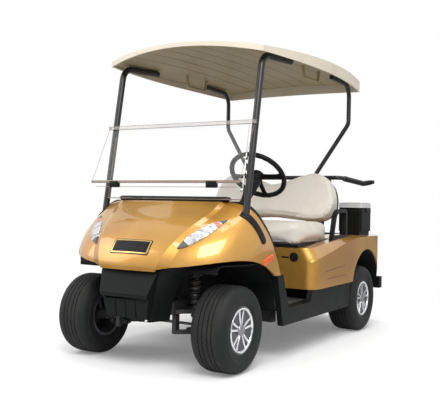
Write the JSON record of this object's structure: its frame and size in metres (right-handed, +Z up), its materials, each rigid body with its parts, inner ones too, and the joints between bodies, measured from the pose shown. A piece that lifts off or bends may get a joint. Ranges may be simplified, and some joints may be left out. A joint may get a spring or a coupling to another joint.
{
  "type": "two-seat electric golf cart",
  "caption": "Two-seat golf cart with canopy, folding windscreen, bench seat, bag well, steered front wheels, lifting seat and a small cooler box.",
  "frame": {"origin": "on the ground, below the middle of the length and the width", "axes": "+Z up, -Y is the front, +X is the vehicle's left side with the steering wheel"},
  "size_m": [1.2, 2.4658, 1.8448],
  "materials": {
    "paint": "metallic amber gold",
    "black_plastic": "grained",
    "frame_steel": "satin black",
    "tyre": "matt",
    "chrome": "polished",
    "steel": "machined",
    "rubber_mat": "ribbed",
    "vinyl": "off white vinyl",
    "seat_plastic": "moulded",
    "roof_plastic": "cream",
    "liner_plastic": "tan",
    "clear_plastic": "clear acrylic",
    "lamp_lens": "clear lens",
    "red_lens": "red lens",
    "battery_case": "moulded"
  },
  "bodies": {
    "chassis": {"bag_rack": "frame_steel", "bag_well": "black_plastic", "battery_pack": "battery_case", "cooler_box": "black_plastic", "dashboard": "black_plastic", "floor_mat": "rubber_mat", "floor_pan": "black_plastic", "frame": "frame_steel", "front_bumper": "black_plastic", "front_cowl": "paint", "front_posts": "frame_steel", "head_lamps": "lamp_lens", "hip_restraints": "black_plastic", "pedals": "steel", "rear_axle": "frame_steel", "rear_body": "paint", "rear_posts": "frame_steel", "roof": "roof_plastic", "roof_liner": "liner_plastic", "seat_back": "vinyl", "seat_back_shell": "seat_plastic", "side_sills": "black_plastic", "steering_column": "black_plastic", "suspension_arms": "frame_steel", "suspension_springs": "frame_steel", "tail_bumper": "black_plastic", "tail_lamps": "red_lens", "wheel_arch_liners": "black_plastic", "windscreen": "clear_plastic", "windscreen_rail": "black_plastic"},
    "front_left_wheel": {"tyre_front_left": "tyre", "wheel_front_left": "chrome"},
    "front_right_wheel": {"tyre_front_right": "tyre", "wheel_front_right": "chrome"},
    "rear_left_wheel": {"tyre_rear_left": "tyre", "wheel_rear_left": "chrome"},
    "rear_right_wheel": {"tyre_rear_right": "tyre", "wheel_rear_right": "chrome"},
    "left_knuckle": {"knuckle_left": "steel"},
    "right_knuckle": {"knuckle_right": "steel"},
    "track_rod": {"tie_rod": "steel"},
    "steering_wheel": {"steering_wheel": "black_plastic"},
    "seat": {"seat_tray": "seat_plastic", "seat_cushion": "vinyl"},
    "cooler_cover": {"cooler_lid": "seat_plastic"}
  },
  "joints": [
    {"name": "steer_left", "type": "hinge", "parent": "chassis", "child": "left_knuckle", "pos_m": [0.31, -0.915, 0.2295], "axis": [0, 0, 1], "range_deg": [-27, 27]},
    {"name": "steer_right", "type": "hinge", "parent": "chassis", "child": "right_knuckle", "pos_m": [-0.31, -0.915, 0.2295], "axis": [0, 0, 1], "range_deg": [-27, 27]},
    {"name": "track_rod_slide", "type": "slide", "parent": "chassis", "child": "track_rod", "axis": [1, 0, 0], "range_m": [-0.063, 0.063]},
    {"name": "steering_wheel_turn", "type": "hinge", "parent": "chassis", "child": "steering_wheel", "pos_m": [0.27, -0.275, 1.062], "axis": [0, 0.7071, 0.7071], "range_deg": [-405.5, 405.5]},
    {"name": "spin_front_left", "type": "hinge", "parent": "left_knuckle", "child": "front_left_wheel", "pos_m": [0.452, -0.915, 0.2295], "axis": [1, 0, 0], "continuous": true},
    {"name": "spin_front_right", "type": "hinge", "parent": "right_knuckle", "child": "front_right_wheel", "pos_m": [-0.452, -0.915, 0.2295], "axis": [1, 0, 0], "continuous": true},
    {"name": "spin_rear_left", "type": "hinge", "parent": "chassis", "child": "rear_left_wheel", "pos_m": [0.495, 0.755, 0.2295], "axis": [1, 0, 0], "continuous": true},
    {"name": "spin_rear_right", "type": "hinge", "parent": "chassis", "child": "rear_right_wheel", "pos_m": [-0.495, 0.755, 0.2295], "axis": [1, 0, 0], "continuous": true},
    {"name": "seat_lift", "type": "hinge", "parent": "chassis", "child": "seat", "pos_m": [0, -0.113, 0.622], "axis": [1, 0, 0], "range_deg": [0, 52]},
    {"name": "cooler_lid_hinge", "type": "hinge", "parent": "chassis", "child": "cooler_cover", "pos_m": [0.367, 0.909, 0.8723], "axis": [0, -1, 0], "range_deg": [0, 100]}
  ],
  "couplings": [
    {"joint": "steer_right", "follows": "steer_left", "ratio": 1},
    {"joint": "track_rod_slide", "follows": "steer_left", "m_per_rad": -0.133},
    {"joint": "steering_wheel_turn", "follows": "steer_left", "ratio": 15}
  ]
}
